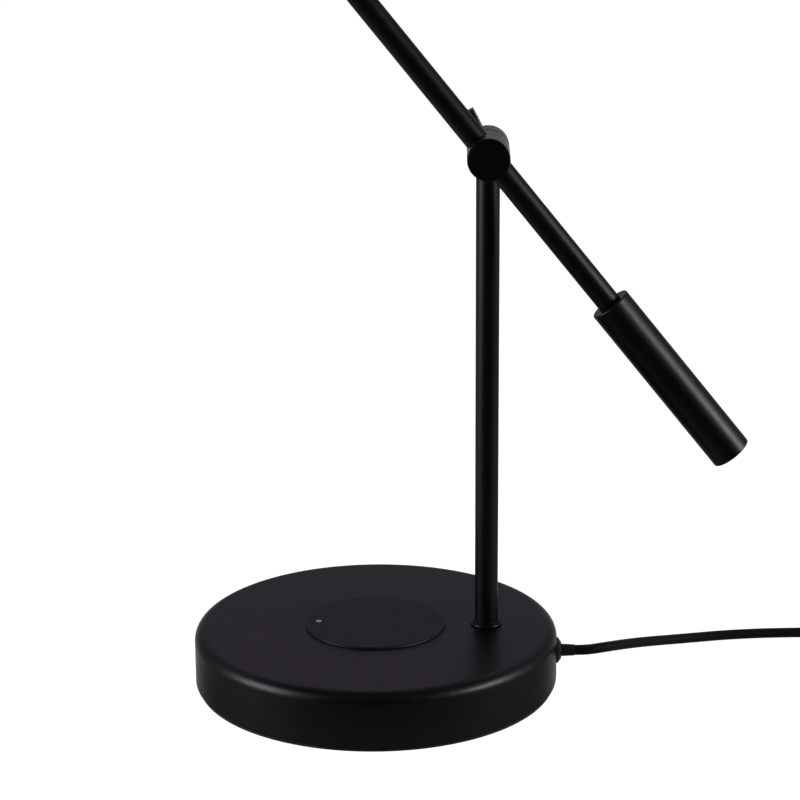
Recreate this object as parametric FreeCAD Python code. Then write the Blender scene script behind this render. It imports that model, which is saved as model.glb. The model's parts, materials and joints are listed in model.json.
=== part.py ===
# Balance-arm desk lamp: a round weighted base with a charging disc, a post, a clamped pivot,
# a long arm with a cylindrical counterweight, and a hinged head with a metal shade.
# Frame: +Z up, +X from the base's centre to the post, origin at the middle of the base's underside.
# The sizes below are in millimetres and degrees.
import FreeCAD, Part
import math
import os

V = FreeCAD.Vector
UP = V(0, 0, 1)
BACK = V(0, 1, 0)

# ---- fits -------------------------------------------------------------------------------------
thread_gap = 0.05          # radial, screwed and pressed pieces
running_gap = 0.08         # radial, a pin that turns in its bore
turning_gap = 0.3          # between faces that turn past each other
loose_gap = 0.3            # radial, a screw in a clearance hole

# ---- base -------------------------------------------------------------------------------------
base_radius = 95.0
base_top = 31.0
shell_wall = 1.2
base_shoulder = 6.0
base_rim_curl = 1.6
foot_pad_inset = 1.5       # of the pad's edge from the shell's side
foot_pad_thick = 1.5       # the shell's rim rests on the pad
plate_thick = 1.2
plate_edge_gap = 0.3
lip_width = 3.2            # how far the shell's lower rim is turned in
weight_thick = 10.0
weight_edge_gap = 0.8
weight_eye_radius = 44.0
weight_notch_depth = 15.0
weight_notch_width = 20.0
pillar_count = 4
pillar_radius = 4.0
pillar_inset = 13.8        # of the pillars' circle from the lip
pillar_blind = 2.0         # the pillar is solid this far past its screw
pillar_angle = 45.0
weight_screw_count = 3
weight_screw_inset = 29.8
weight_screw_angle = 90.0
weight_screw_reach = 6.0
screw_shank = 2.0
screw_head = 3.8
screw_head_thick = 1.4
plate_screw_reach = 9.0

# ---- charging disc ----------------------------------------------------------------------------
disc_radius = 37.0
disc_rise = 1.2
disc_edge_round = 0.8
disc_top_wall = 1.6
spigot_radius = 33.8
spigot_depth = 4.6
spigot_wall = 1.6
hole_gap = 0.4
tub_wall = 1.6
tub_flange_radius = 39.5
tub_flange_thick = 1.6
tub_depth = 9.4
board_thick = 1.6
board_radius = 31.6
ferrite_radius = 23.0
ferrite_thick = 0.9
coil_outer = 21.5
coil_inner = 10.5
coil_thick = 1.0
charger_screw_count = 3
charger_screw_circle = 27.4
charger_screw_angle = 30.0
charger_boss_radius = 2.8
charger_screw_shank = 1.2
charger_screw_head = 2.4
charger_screw_head_thick = 1.2
light_radius = 1.5
light_place = -30.0

# ---- power supply -----------------------------------------------------------------------------
supply_x = (-32.0, 22.0)
supply_half_width = 17.0
supply_height = 15.0
supply_wall = 1.8
supply_board_lift = 3.0
supply_wire_lift = 9.6     # of the wires above the case's underside
supply_wire_spacing = 16.0
supply_blocks = ((-10.0, 0.0, 6.5, 7.0, 5.6), (8.0, 6.0, 3.0, 3.0, 3.0), (-24.0, 7.0, 4.0, 4.0, 3.0))
supply_cans = ((-24.0, -7.0), (6.0, -7.0))
supply_can_radius = 3.2
supply_can_height = 5.6
inner_bend = 14.0          # how far in front of the post the cord passes inside the base

# ---- post -------------------------------------------------------------------------------------
post_inset = 37.0          # from the base's edge to the post's axis
post_radius = 6.0
post_wall = 1.0
collar_radius = 8.1
collar_height = 2.8
collar_step = 1.5          # height of the collar's wider ring
collar_neck_radius = 7.1
nipple_radius = 4.0        # hollow threaded stubs that the wire runs through
nipple_bore = 2.6
insert_length = 14.0
nipple_below_top = 10.5
lock_washer_radius = 7.5
lock_washer_thick = 1.6
post_nut_flats = 13.0
post_nut_thick = 5.0

# ---- pivot ------------------------------------------------------------------------------------
pivot_height = 283.6
barrel_radius = 10.6
barrel_edge = 0.5
arm_offset = 17.0          # the arm passes this far in front of the post
front_half_nose = 14.9     # from the arm's axis to the front face
rear_half_reach = 6.5      # from the post's axis to each face of the rear half
friction_washer_thick = 0.6
friction_washer_radius = 9.9
washer_radius = 8.2
washer_thick = 1.2
spring_washer_radius = 7.0
spring_washer_thick = 1.8
stud_tail = 10.0           # thread that stands behind the washers
grub_radius = 2.0
grub_recess = 1.0
wire_radius = 1.5
slot_half_angle = 88.0
slot_half_length = 2.9

# ---- wing nuts --------------------------------------------------------------------------------
wing_reach = 18.7
wing_thick = 3.2
wing_hub_radius = 6.8
wing_hub_top = 5.6
wing_hub_height = 8.0
wing_height = 13.0
wing_lean = 29.0           # of the pivot's wings from upright, towards the head
small_wing_share = 0.72    # the head's wing nut against the pivot's
small_wing_lean = 90.0

# ---- arm --------------------------------------------------------------------------------------
arm_angle = 51.1           # above the horizontal, rising towards -X
arm_radius = 6.0
arm_wall = 1.2
arm_reach = 312.0          # from the pivot to the head's hinge
weight_start = 96.5        # from the pivot to the counterweight's upper face
counterweight_length = 100.0
counterweight_radius = 10.5
counterweight_bore_depth = 60.0
counterweight_edge = 0.6
arm_tail_gap = 2.0
weight_grub_inset = 14.0

# ---- head -------------------------------------------------------------------------------------
hinge_radius = 9.0
hinge_nose = 10.0
arm_end_past = 5.0
neck_radius = 6.0
neck_bottom = 34.0         # all head depths are below the hinge's axis
cup_radius = 20.0
cup_wall = 1.2
cup_shoulder = 7.0
cup_bottom = 74.0
cup_vent_count = 8
cup_vent_radius = 1.6
cup_vent_depth = 46.0
neck_nut_flats = 13.0
neck_nut_thick = 3.5
socket_radius = 16.0
socket_skirt_radius = 17.6
socket_top = 42.0
socket_bottom = 86.0
socket_floor = 59.0
socket_bore = 13.8
socket_shell_wall = 0.5
ring_gap = 0.6             # radial, inside the shade's crown
ring_thick = 4.0
ring_notch_count = 12
shade_top_radius = 24.6
shade_rim_radius = 75.0
shade_height = 72.0
shade_bulge = 13.0         # how far the side stands out from a straight cone
shade_wall = 0.8
shade_bead = 1.0
switch_depth = 56.0
switch_shaft_radius = 2.0
switch_shaft_depth = 3.0
knob_radius = 5.2
knob_length = 9.0
knob_stand_off = 1.2
knob_flutes = 14

# ---- bulb -------------------------------------------------------------------------------------
cap_radius = 12.9
cap_length = 24.0
bulb_length = 84.0
bulb_neck_radius = 13.0
bulb_neck_length = 2.5
bulb_radius = 24.5
bulb_body_length = 22.0

# ---- mains cord -------------------------------------------------------------------------------
cord_radius = 2.7
cord_height = 16.4         # of the outlet above the table
gland_flange_radius = 6.9
gland_flange_rim = 1.2      # the flange is domed from this thick at its rim
gland_dome_radius = 4.4
gland_flange_thick = 3.0
gland_neck_radius = 4.6
gland_inner_radius = 5.6
gland_inner_length = 12.0
gland_snap_gap = 1.2       # from the wall to the bush's snap
gland_flat = 0.6           # how far the flange is let into the round wall
nose_length = 7.0          # the bush tapers over this length outside its flange
nose_radii = (3.3, 2.95)
coil_centre = (298.0, 99.5)
coil_turns_per_layer = 4
coil_turn_pitch = 6.7
coil_outer_turn = 42.0
coil_entry_run = 20.0      # the last straight run before the coil
coil_lift = 1.4            # the ties under the coil lift it this far off the table
tie_thick = 1.0
tie_width = 7.0
tie_gap = 0.8
plug_length = 26.0
plug_width = 23.0
plug_neck_length = 18.0
blade_gap = 12.7
blade_thick = 1.5
blade_widths = (6.35, 7.94)
blade_length = 17.5
blade_root = 6.0

# ---- places worked out from the sizes ---------------------------------------------------------
theta = math.radians(arm_angle)
arm_dir = V(-math.cos(theta), 0, math.sin(theta))      # towards the head
arm_side = V(-math.sin(theta), 0, -math.cos(theta))    # square to the arm, downwards
arm_plane = -arm_offset
lip_radius = base_radius - lip_width
foot_pad_radius = base_radius - foot_pad_inset
pillar_circle = lip_radius - pillar_inset
weight_screw_circle = lip_radius - weight_screw_inset
post_x = base_radius - post_inset
ring_radius = shade_top_radius - shade_wall - ring_gap
pivot = V(post_x, 0, pivot_height)
arm_mid = V(post_x, arm_plane, pivot_height)
hinge = pivot + arm_dir * arm_reach
arm_end = V(hinge.x, arm_plane, hinge.z)
shell_under = base_top - shell_wall
shell_inside = base_radius - shell_wall
plate_top = foot_pad_thick + plate_thick
weight_top = plate_top + weight_thick
seam = -rear_half_reach
front_face = arm_plane - front_half_nose
front_half_back = seam - friction_washer_thick - turning_gap
tool_reach = 400.0         # longer than anything it cuts

report = {}


# ---- small makers -----------------------------------------------------------------------------
def rod(start, direction, radius, length):
    return Part.makeCylinder(radius, length, start, direction)


def tube(start, direction, outer, inner, length):
    return rod(start, direction, outer, length).cut(rod(start, direction, inner, length))


def block(x0, x1, y0, y1, z0, z1):
    return Part.makeBox(x1 - x0, y1 - y0, z1 - z0, V(x0, y0, z0))


def turned(steps, centre, direction):
    """A solid of revolution. Steps are (radius, height) points; a step of four numbers is an arc
    through its first pair to its second."""
    edges = []
    here = V(steps[0][0], 0, steps[0][1])
    for step in list(steps[1:]) + [steps[0]]:
        if len(step) == 4:
            middle, end = V(step[0], 0, step[1]), V(step[2], 0, step[3])
            edges.append(Part.Arc(here, middle, end).toShape())
        else:
            end = V(step[0], 0, step[1])
            if end.distanceToPoint(here) < 1e-7:
                continue
            edges.append(Part.makeLine(here, end))
        here = end
    solid = Part.Face(Part.Wire(edges)).revolve(V(0, 0, 0), UP, 360)
    solid.Placement = FreeCAD.Placement(centre, FreeCAD.Rotation(UP, direction))
    return solid


def hexagon(start, direction, flats, length):
    corner = flats / math.sqrt(3)
    points = []
    for k in range(7):
        turn = math.radians(60 * k)
        points.append(V(corner * math.cos(turn), corner * math.sin(turn), 0))
    solid = Part.Face(Part.makePolygon(points)).extrude(V(0, 0, length))
    solid.Placement = FreeCAD.Placement(start, FreeCAD.Rotation(UP, direction))
    return solid


def round_edges(solid, radius, chosen):
    """Rounds the solid's edges for which chosen(edge) is true."""
    edges = [e for e in solid.Edges if chosen(e)]
    return solid.makeFillet(radius, edges)


def ring_at(height, radius):
    """Picks full circles of one radius at one height."""
    def chosen(edge):
        curve = edge.Curve
        if not isinstance(curve, Part.Circle):
            return False
        return abs(curve.Center.z - height) < 1e-6 and abs(curve.Radius - radius) < 1e-6
    return chosen


def round_places(count, circle, turn, height):
    places = []
    for k in range(count):
        angle = math.radians(turn + 360.0 * k / count)
        places.append(V(circle * math.cos(angle), circle * math.sin(angle), height))
    return places


def pan_screw(seat, direction, shank, reach, head, head_thick):
    """A screw whose head bears on seat and whose shank runs reach along direction."""
    back = direction * -1
    solid = rod(seat, direction, shank, reach).fuse(rod(seat, back, head, head_thick))
    half, thin, deep = head * 0.6, head * 0.12, head_thick * 0.6
    cross = block(-half, half, -thin, thin, 0, deep).fuse(block(-thin, thin, -half, half, 0, deep))
    cross.Placement = FreeCAD.Placement(seat + back * head_thick, FreeCAD.Rotation(UP, direction))
    return solid.cut(cross)


def grub_screw(start, direction, length):
    """Its outer end is at start; direction points into the piece that it locks."""
    solid = rod(start, direction, grub_radius, length)
    return solid.cut(hexagon(start, direction, grub_radius, grub_recess))


def wing_nut(seat, lean, share):
    """A wing nut that bears on seat and opens backwards; lean turns its wings from upright."""
    hub = turned([(nipple_radius + thread_gap, 0), (wing_hub_radius * share, 0),
                  (wing_hub_top * share, wing_hub_height), (nipple_radius + thread_gap, wing_hub_height)],
                 V(0, 0, 0), UP)
    reach, tall = wing_reach * share, wing_height * share
    root = nipple_radius + 1.0
    outline = [V(root, 0, 0.6), V(reach * 0.62, 0, 1.2), V(reach, 0, tall * 0.42),
               V(reach, 0, tall), V(reach * 0.72, 0, tall), V(root, 0, wing_hub_height * 0.9)]
    wing = Part.Face(Part.makePolygon(outline + outline[:1])).extrude(V(0, wing_thick, 0))
    wing.translate(V(0, -wing_thick / 2, 0))

    def corner(edge):
        ends = edge.Vertexes
        return abs(ends[0].Y - ends[1].Y) > wing_thick / 2 and ends[0].X > root + 1

    wing = round_edges(wing, 1.9 * share, corner)
    other = wing.copy()
    other.rotate(V(0, 0, 0), UP, 180)
    nut = hub.fuse([wing, other]).removeSplitter()
    # local Z (the stud) becomes +Y, local X (the wings) becomes upright
    nut.rotate(V(0, 0, 0), V(1, 0, 0), -90)
    nut.rotate(V(0, 0, 0), BACK, -90 - lean)
    nut.translate(seat)
    return nut


def smooth_path(points, share=0.45):
    """Straight runs joined by tangent arcs, each as large as its two runs allow."""
    edges, radii, here = [], [], points[0]
    for before, corner, after in zip(points, points[1:], points[2:]):
        a, b = (before - corner), (after - corner)
        run = min(a.Length, b.Length)
        a.normalize()
        b.normalize()
        turn = math.pi - a.getAngle(b)
        trim = share * run
        radius = trim / math.tan(turn / 2)
        radii.append(round(radius, 1))
        start, end = corner + a * trim, corner + b * trim
        middle_dir = (a + b).normalize()
        depth = radius / math.cos(turn / 2) - radius
        edges.append(Part.LineSegment(here, start).toShape())
        edges.append(Part.Arc(start, corner + middle_dir * depth, end).toShape())
        here = end
    edges.append(Part.LineSegment(here, points[-1]).toShape())
    return Part.Wire(edges), radii


def pipe_along(path, radius, direction):
    """A round bar swept along path, which starts along direction."""
    start = path.Vertexes[0].Point
    profile = Part.Wire([Part.Circle(start, direction, radius).toShape()])
    return path.makePipeShell([profile], True, False)


def cord_tube(name, points, radius):
    path, radii = smooth_path(points)
    solid = pipe_along(path, radius, (points[1] - points[0]).normalize())
    expected = math.pi * radius ** 2 * path.Length
    print(name, "length", round(path.Length, 1), "radii", radii,
          "volume ratio", round(solid.Volume / expected, 4))
    return solid


def save(name, *solids):
    shape = solids[0] if len(solids) == 1 else Part.makeCompound(list(solids))
    loose = [s for s in shape.Solids]
    bad = [s for s in loose if not s.isValid() or s.Volume <= 0]
    if bad or not loose:
        raise RuntimeError(name + " holds no sound solid")
    report[name] = sum(s.Volume for s in loose)
    shape.exportStep("parts/" + name + ".step")


# ---- base -------------------------------------------------------------------------------------
gland_inside = shell_inside - gland_inner_length
pillar_places = round_places(pillar_count, pillar_circle, pillar_angle, plate_top)
weight_screw_places = round_places(weight_screw_count, weight_screw_circle, weight_screw_angle,
                                   foot_pad_thick)


def make_base_shell():
    tall = base_top - foot_pad_thick
    outside = rod(V(0, 0, foot_pad_thick), UP, base_radius, tall)
    outside = round_edges(outside, base_shoulder, ring_at(base_top, base_radius))
    outside = round_edges(outside, base_rim_curl, ring_at(foot_pad_thick, base_radius))
    floor = foot_pad_thick + shell_wall
    inside = rod(V(0, 0, floor), UP, shell_inside, shell_under - floor)
    inside = round_edges(inside, base_shoulder - shell_wall, ring_at(shell_under, shell_inside))
    inside = round_edges(inside, base_rim_curl - shell_wall, ring_at(floor, shell_inside))
    shell = outside.cut(inside).cut(rod(V(0, 0, 0), UP, lip_radius, base_rim_curl + floor))
    shell = shell.cut(rod(V(0, 0, shell_under - 1), UP, spigot_radius + hole_gap, tall))
    shell = shell.cut(rod(V(post_x, 0, shell_under - 1), UP, nipple_radius + loose_gap, tall))
    hole = rod(V(shell_inside - 5, 0, cord_height), V(1, 0, 0), gland_neck_radius + thread_gap, 10)
    return shell.cut(hole)


def make_pillars():
    tall = shell_under - plate_top
    bored = plate_screw_reach + pillar_blind
    return [tube(p, UP, pillar_radius, screw_shank + thread_gap, bored).fuse(
        rod(p + UP * bored, UP, pillar_radius, tall - bored)) for p in pillar_places]


def make_base_weight():
    outer = lip_radius - weight_edge_gap
    weight = tube(V(0, 0, plate_top), UP, outer, weight_eye_radius, weight_thick)
    for p in pillar_places:
        weight = weight.cut(rod(p, UP, pillar_radius + loose_gap, weight_thick))
    for p in weight_screw_places:
        hole = rod(V(p.x, p.y, plate_top), UP, screw_shank + thread_gap, weight_screw_reach)
        weight = weight.cut(hole)
    half = weight_notch_width / 2
    notch = block(outer - weight_notch_depth, base_radius, -half, half, plate_top - 1, weight_top + 1)
    return weight.cut(notch)


def make_base_plate():
    plate = rod(V(0, 0, foot_pad_thick), UP, lip_radius - plate_edge_gap, plate_thick)
    for p in pillar_places + weight_screw_places:
        plate = plate.cut(rod(V(p.x, p.y, 0), UP, screw_shank + loose_gap, base_top))
    return plate


def make_foot_pad():
    pad = rod(V(0, 0, 0), UP, foot_pad_radius, foot_pad_thick)
    for p in pillar_places + weight_screw_places:
        pad = pad.cut(rod(V(p.x, p.y, -1), UP, screw_head + loose_gap, base_top))
    return pad


def make_plate_screws(places, reach):
    return [pan_screw(V(p.x, p.y, foot_pad_thick), UP, screw_shank, reach, screw_head,
                      screw_head_thick) for p in places]


# ---- charging disc ----------------------------------------------------------------------------
disc_top = base_top + disc_rise
disc_ceiling = disc_top - disc_top_wall
coil_top = disc_ceiling - 0.1
ferrite_top = coil_top - coil_thick
board_top = ferrite_top - ferrite_thick
board_under = board_top - board_thick
tub_under = shell_under - tub_depth
tub_floor = tub_under + tub_wall
tub_inner = spigot_radius + hole_gap
charger_places = round_places(charger_screw_count, charger_screw_circle, charger_screw_angle, tub_under)


def make_charger_cover():
    cover = rod(V(0, 0, base_top), UP, disc_radius, disc_rise)
    cover = round_edges(cover, disc_edge_round, ring_at(disc_top, disc_radius))
    spigot_bottom = base_top - spigot_depth
    cover = cover.fuse(rod(V(0, 0, spigot_bottom), UP, spigot_radius, spigot_depth))
    room = spigot_radius - spigot_wall
    cover = cover.cut(rod(V(0, 0, spigot_bottom), UP, room, disc_ceiling - spigot_bottom))
    for p in charger_places:
        start = V(p.x, p.y, board_top)
        boss = tube(start, UP, charger_boss_radius, charger_screw_shank + thread_gap,
                    disc_ceiling - board_top)
        cover = cover.fuse(boss)
    hole = rod(V(light_place, 0, disc_ceiling - 1), UP, light_radius + thread_gap, disc_rise + 2)
    return cover.cut(hole).removeSplitter()


def make_charger_tub():
    outer = tub_inner + tub_wall
    tub = rod(V(0, 0, tub_under), UP, outer, tub_depth)
    tub = tub.fuse(rod(V(0, 0, shell_under - tub_flange_thick), UP, tub_flange_radius,
                       tub_flange_thick))
    tub = tub.cut(rod(V(0, 0, tub_floor), UP, tub_inner, tub_depth))
    for p in charger_places:
        tub = tub.fuse(rod(V(p.x, p.y, tub_floor), UP, charger_boss_radius, board_under - tub_floor))
        tub = tub.cut(rod(p, UP, charger_screw_shank + loose_gap, tub_depth))
    return tub.removeSplitter()


def make_charger_board():
    board = rod(V(0, 0, board_under), UP, board_radius, board_thick)
    for p in charger_places:
        board = board.cut(rod(p, UP, charger_screw_shank + loose_gap, base_top))
    return board


def make_board_parts():
    """Chips, coils and capacitors under the charging board: centre, half sizes and depth."""
    parts = []
    for x, y, half_x, half_y, deep in ((0, 0, 5, 5, 1.2), (-14, 6, 4, 3, 2.0), (12, -10, 3.5, 3.5, 3.4),
                                       (10, 9, 2.5, 4, 1.6), (-9, -12, 3, 2, 1.4)):
        parts.append(block(x - half_x, x + half_x, y - half_y, y + half_y,
                           board_under - deep, board_under))
    for x, y in ((-18, -5), (-2, 15), (2, -18)):
        parts.append(rod(V(x, y, board_under - 3.2), UP, 2.6, 3.2))
    return parts


def make_charger_screws():
    reach = disc_ceiling - 0.6 - tub_under
    return [pan_screw(p, UP, charger_screw_shank, reach, charger_screw_head,
                      charger_screw_head_thick) for p in charger_places]


# ---- power supply -----------------------------------------------------------------------------
supply_floor = plate_top
supply_lid = supply_floor + supply_height - supply_wall
supply_wire_height = supply_floor + supply_wire_lift
supply_cord_y = -supply_wire_spacing / 2
supply_wire_y = supply_wire_spacing / 2


def make_supply_case():
    x0, x1 = supply_x
    half, wall = supply_half_width, supply_wall
    case = block(x0, x1, -half, half, supply_floor, supply_lid)
    case = case.cut(block(x0 + wall, x1 - wall, -half + wall, half - wall,
                          supply_floor + wall, supply_lid))
    for y in (-half + 3 * wall, half - 5 * wall):
        case = case.fuse(block(x0 + 3 * wall, x1 - 3 * wall, y, y + 2 * wall,
                               supply_floor + wall, supply_floor + supply_board_lift + wall))
    return case.removeSplitter()


def make_supply_lid():
    x0, x1 = supply_x
    return block(x0, x1, -supply_half_width, supply_half_width, supply_lid, supply_lid + supply_wall)


def make_supply_board():
    x0, x1 = supply_x
    inset = supply_wall + 0.5
    half = supply_half_width - inset
    low = supply_floor + supply_board_lift + supply_wall
    board = block(x0 + inset, x1 - inset, -half, half, low, low + board_thick)
    top = low + board_thick
    parts = [board]
    for x, y, half_x, half_y, tall in supply_blocks:
        parts.append(block(x - half_x, x + half_x, y - half_y, y + half_y, top, top + tall))
    for x, y in supply_cans:
        parts.append(rod(V(x, y, top), UP, supply_can_radius, supply_can_height))
    return parts


# ---- post -------------------------------------------------------------------------------------
post_foot = V(post_x, 0, base_top)
barrel_cutter = rod(V(post_x, -tool_reach / 2, pivot_height), BACK, barrel_radius, tool_reach)
post_insert_radius = post_radius - post_wall - thread_gap
nipple_hole = nipple_radius + thread_gap
nipple_top_gap = 1.0       # between a nipple's end and the stud above it
nipple_end = pivot_height - nipple_radius - nipple_top_gap
top_insert_bottom = pivot_height - barrel_radius - insert_length - 2


def make_post():
    post = tube(post_foot, UP, post_radius, post_radius - post_wall, pivot_height - base_top)
    return post.cut(barrel_cutter)


def make_collar():
    inner = post_radius + thread_gap
    lip = 0.5
    return turned([(inner, 0), (collar_radius - lip, 0),
                   (collar_radius, collar_step / 2, collar_radius - lip, collar_step),
                   (collar_neck_radius, collar_step), (collar_neck_radius, collar_height - lip),
                   (collar_neck_radius - lip, collar_height), (inner, collar_height)], post_foot, UP)


def make_foot_insert():
    return tube(post_foot, UP, post_insert_radius, nipple_hole, insert_length)


def make_post_nipple():
    bottom = V(post_x, 0, shell_under - nipple_below_top + 1)
    return tube(bottom, UP, nipple_radius, nipple_bore, base_top + insert_length - 1 - bottom.z)


def make_lock_washer():
    return tube(V(post_x, 0, shell_under - lock_washer_thick), UP, lock_washer_radius,
                nipple_hole, lock_washer_thick)


def make_post_nut():
    low = V(post_x, 0, shell_under - lock_washer_thick - post_nut_thick)
    return hexagon(low, UP, post_nut_flats, post_nut_thick).cut(rod(low, UP, nipple_hole, post_nut_thick))


def make_top_insert():
    return tube(V(post_x, 0, top_insert_bottom), UP, post_insert_radius, nipple_hole, insert_length)


def make_top_nipple():
    low = top_insert_bottom + 2
    return tube(V(post_x, 0, low), UP, nipple_radius, nipple_bore, nipple_end - low)


# ---- pivot ------------------------------------------------------------------------------------
def half_barrel(centre, radius, y0, y1):
    body = rod(V(centre.x, y0, centre.z), BACK, radius, y1 - y0)

    def rim(edge):
        curve = edge.Curve
        return isinstance(curve, Part.Circle) and abs(curve.Radius - radius) < 1e-6

    return round_edges(body, barrel_edge, rim)


def down_at(angle):
    """Straight down, turned by angle about +Y."""
    turn = math.radians(angle)
    return V(-math.sin(turn), 0, -math.cos(turn))


def hollow_stud(centre, y0, y1, slot_middle):
    """A hollow threaded stud along Y, slotted where the wire comes in from the side."""
    stud = tube(V(centre.x, y0, centre.z), BACK, nipple_radius, nipple_bore, y1 - y0)
    middle = V(centre.x, -slot_half_length, centre.z)
    corners = [middle]
    for k in range(5):
        angle = slot_middle - slot_half_angle + 2 * slot_half_angle * k / 4
        corners.append(middle + down_at(angle) * (nipple_radius * 1.6))
    slot = Part.Face(Part.makePolygon(corners + corners[:1])).extrude(BACK * (2 * slot_half_length))
    return stud.cut(slot)


arm_bore = arm_radius + thread_gap
stud_front = arm_plane + arm_bore + 0.3
washer_seat = rear_half_reach
spring_seat = washer_seat + washer_thick
wing_seat = spring_seat + spring_washer_thick
stud_rear = wing_seat + stud_tail
pivot_grub_start = arm_mid + arm_side * (barrel_radius - grub_recess)
arm_tilt_range = (-60.0, 25.0)
shade_tilt_range = (-4.0, 85.0)


def make_pivot_rear():
    body = half_barrel(pivot, barrel_radius, -rear_half_reach, rear_half_reach)
    body = body.cut(rod(V(post_x, -rear_half_reach, pivot_height), BACK,
                        nipple_radius + running_gap, 2 * rear_half_reach))
    low = V(post_x, 0, pivot_height - barrel_radius - 1)
    body = body.cut(rod(low, UP, nipple_hole, nipple_end + 0.1 - low.z))
    return body.cut(rod(low, UP, nipple_bore, barrel_radius + 1))


def make_pivot_front():
    body = half_barrel(arm_mid, barrel_radius, front_face, front_half_back)
    body = body.cut(rod(arm_mid - arm_dir * tool_reach / 2, arm_dir, arm_bore, tool_reach))
    stud_hole = rod(V(post_x, arm_plane, pivot_height), BACK, nipple_hole, arm_offset)
    body = body.cut(stud_hole)
    return body.cut(rod(arm_mid, arm_side, grub_radius + thread_gap, barrel_radius + 1))


def make_pivot_stud():
    middle = -(arm_tilt_range[0] + arm_tilt_range[1]) / 2
    return hollow_stud(pivot, stud_front, stud_rear, middle)


def make_friction_washer(centre, radius):
    start = V(centre.x, front_half_back, centre.z)
    return tube(start, BACK, radius, nipple_hole, friction_washer_thick)


def make_washers(centre, share):
    flat = tube(V(centre.x, washer_seat, centre.z), BACK, washer_radius * share, nipple_hole,
                washer_thick)
    spring = tube(V(centre.x, spring_seat, centre.z), BACK, spring_washer_radius * share,
                  nipple_hole, spring_washer_thick)
    cut = block(-0.6, 0.6, 0, spring_washer_thick, 0, spring_washer_radius)
    cut.translate(V(centre.x, spring_seat, centre.z))
    return [flat, spring.cut(cut)]


# ---- arm --------------------------------------------------------------------------------------
arm_tail = weight_start + counterweight_bore_depth - arm_tail_gap
weight_face = arm_mid - arm_dir * weight_start
weight_grub_place = weight_face - arm_dir * weight_grub_inset


def make_arm_tube():
    tail = arm_mid - arm_dir * arm_tail
    length = arm_tail + arm_reach + arm_end_past
    arm = tube(tail, arm_dir, arm_radius, arm_radius - arm_wall, length)
    for place in (arm_mid, arm_end):
        arm = arm.cut(rod(place, BACK, nipple_bore, arm_radius + 1))
    return arm


def make_counterweight():
    solid = rod(weight_face, arm_dir * -1, counterweight_radius, counterweight_length)

    def rim(edge):
        return isinstance(edge.Curve, Part.Circle)

    solid = round_edges(solid, counterweight_edge, rim)
    solid = solid.cut(rod(weight_face, arm_dir * -1, arm_bore, counterweight_bore_depth))
    return solid.cut(rod(weight_grub_place, arm_side, grub_radius + thread_gap, counterweight_radius + 1))


# ---- head hinge and neck ----------------------------------------------------------------------
hinge_front_face = arm_plane - hinge_nose
hinge_grub_start = arm_end - arm_side * (hinge_radius - grub_recess)
neck_end = hinge.z - nipple_radius - nipple_top_gap
neck_nut_top = hinge.z - neck_bottom - cup_wall


def below(depth):
    """A point on the head's axis, depth below the hinge."""
    return V(hinge.x, 0, hinge.z - depth)


def make_hinge_front():
    body = half_barrel(arm_end, hinge_radius, hinge_front_face, front_half_back)
    body = body.cut(rod(arm_end - arm_dir * tool_reach, arm_dir, arm_bore, tool_reach + arm_end_past))
    body = body.cut(rod(V(hinge.x, arm_plane, hinge.z), BACK, nipple_hole, arm_offset))
    return body.cut(rod(arm_end, arm_side * -1, grub_radius + thread_gap, hinge_radius + 1))


def make_hinge_rear():
    body = half_barrel(hinge, hinge_radius, -rear_half_reach, rear_half_reach)
    body = body.cut(rod(V(hinge.x, -rear_half_reach, hinge.z), BACK,
                        nipple_radius + running_gap, 2 * rear_half_reach))
    low = below(hinge_radius + 1)
    body = body.cut(rod(low, UP, nipple_hole, neck_end + 0.1 - low.z))
    return body.cut(rod(low, UP, nipple_bore, hinge_radius + 1))


def make_hinge_stud():
    middle = (shade_tilt_range[0] + shade_tilt_range[1]) / 2
    return hollow_stud(hinge, stud_front, stud_rear, middle)


def make_neck():
    neck = tube(below(neck_bottom), UP, neck_radius, nipple_hole, neck_bottom)
    return neck.cut(rod(V(hinge.x, -tool_reach / 2, hinge.z), BACK, hinge_radius, tool_reach))


def make_neck_nipple():
    low = below(socket_top + 3)
    return tube(low, UP, nipple_radius, nipple_bore, neck_end - low.z)


def make_neck_nut():
    low = V(hinge.x, 0, neck_nut_top - neck_nut_thick)
    return hexagon(low, UP, neck_nut_flats, neck_nut_thick).cut(rod(low, UP, nipple_hole, neck_nut_thick))


def make_socket_cup():
    tall = cup_bottom - neck_bottom
    cup = rod(below(cup_bottom), UP, cup_radius, tall)
    cup = round_edges(cup, cup_shoulder, ring_at(hinge.z - neck_bottom, cup_radius))
    room = rod(below(cup_bottom), UP, cup_radius - cup_wall, tall - cup_wall)
    room = round_edges(room, cup_shoulder - cup_wall, ring_at(neck_nut_top, cup_radius - cup_wall))
    cup = cup.cut(room).cut(rod(below(cup_bottom), UP, nipple_radius + loose_gap, tall + 1))
    for k in range(cup_vent_count):
        angle = math.radians(360.0 * (k + 0.5) / cup_vent_count)
        out = V(math.cos(angle), math.sin(angle), 0)
        cup = cup.cut(rod(below(cup_vent_depth) + out * (cup_radius - 4), out, cup_vent_radius, 8))
    return cup.cut(rod(below(switch_depth), BACK * -1, switch_shaft_radius + turning_gap, cup_radius + 1))


# ---- socket and bulb --------------------------------------------------------------------------
def make_socket():
    body = rod(below(socket_bottom), UP, socket_skirt_radius, socket_bottom - switch_depth - 8)
    body = body.fuse(rod(below(socket_bottom), UP, socket_radius, socket_bottom - socket_top))
    body = body.cut(rod(below(socket_bottom), UP, socket_bore, socket_bottom - socket_floor))
    body = body.cut(rod(below(socket_floor), UP, nipple_hole, socket_floor))
    shaft_hole = rod(V(hinge.x, -socket_radius + switch_shaft_depth, hinge.z - switch_depth),
                     BACK * -1, switch_shaft_radius + running_gap, socket_radius)
    return body.cut(shaft_hole).removeSplitter()


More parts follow.
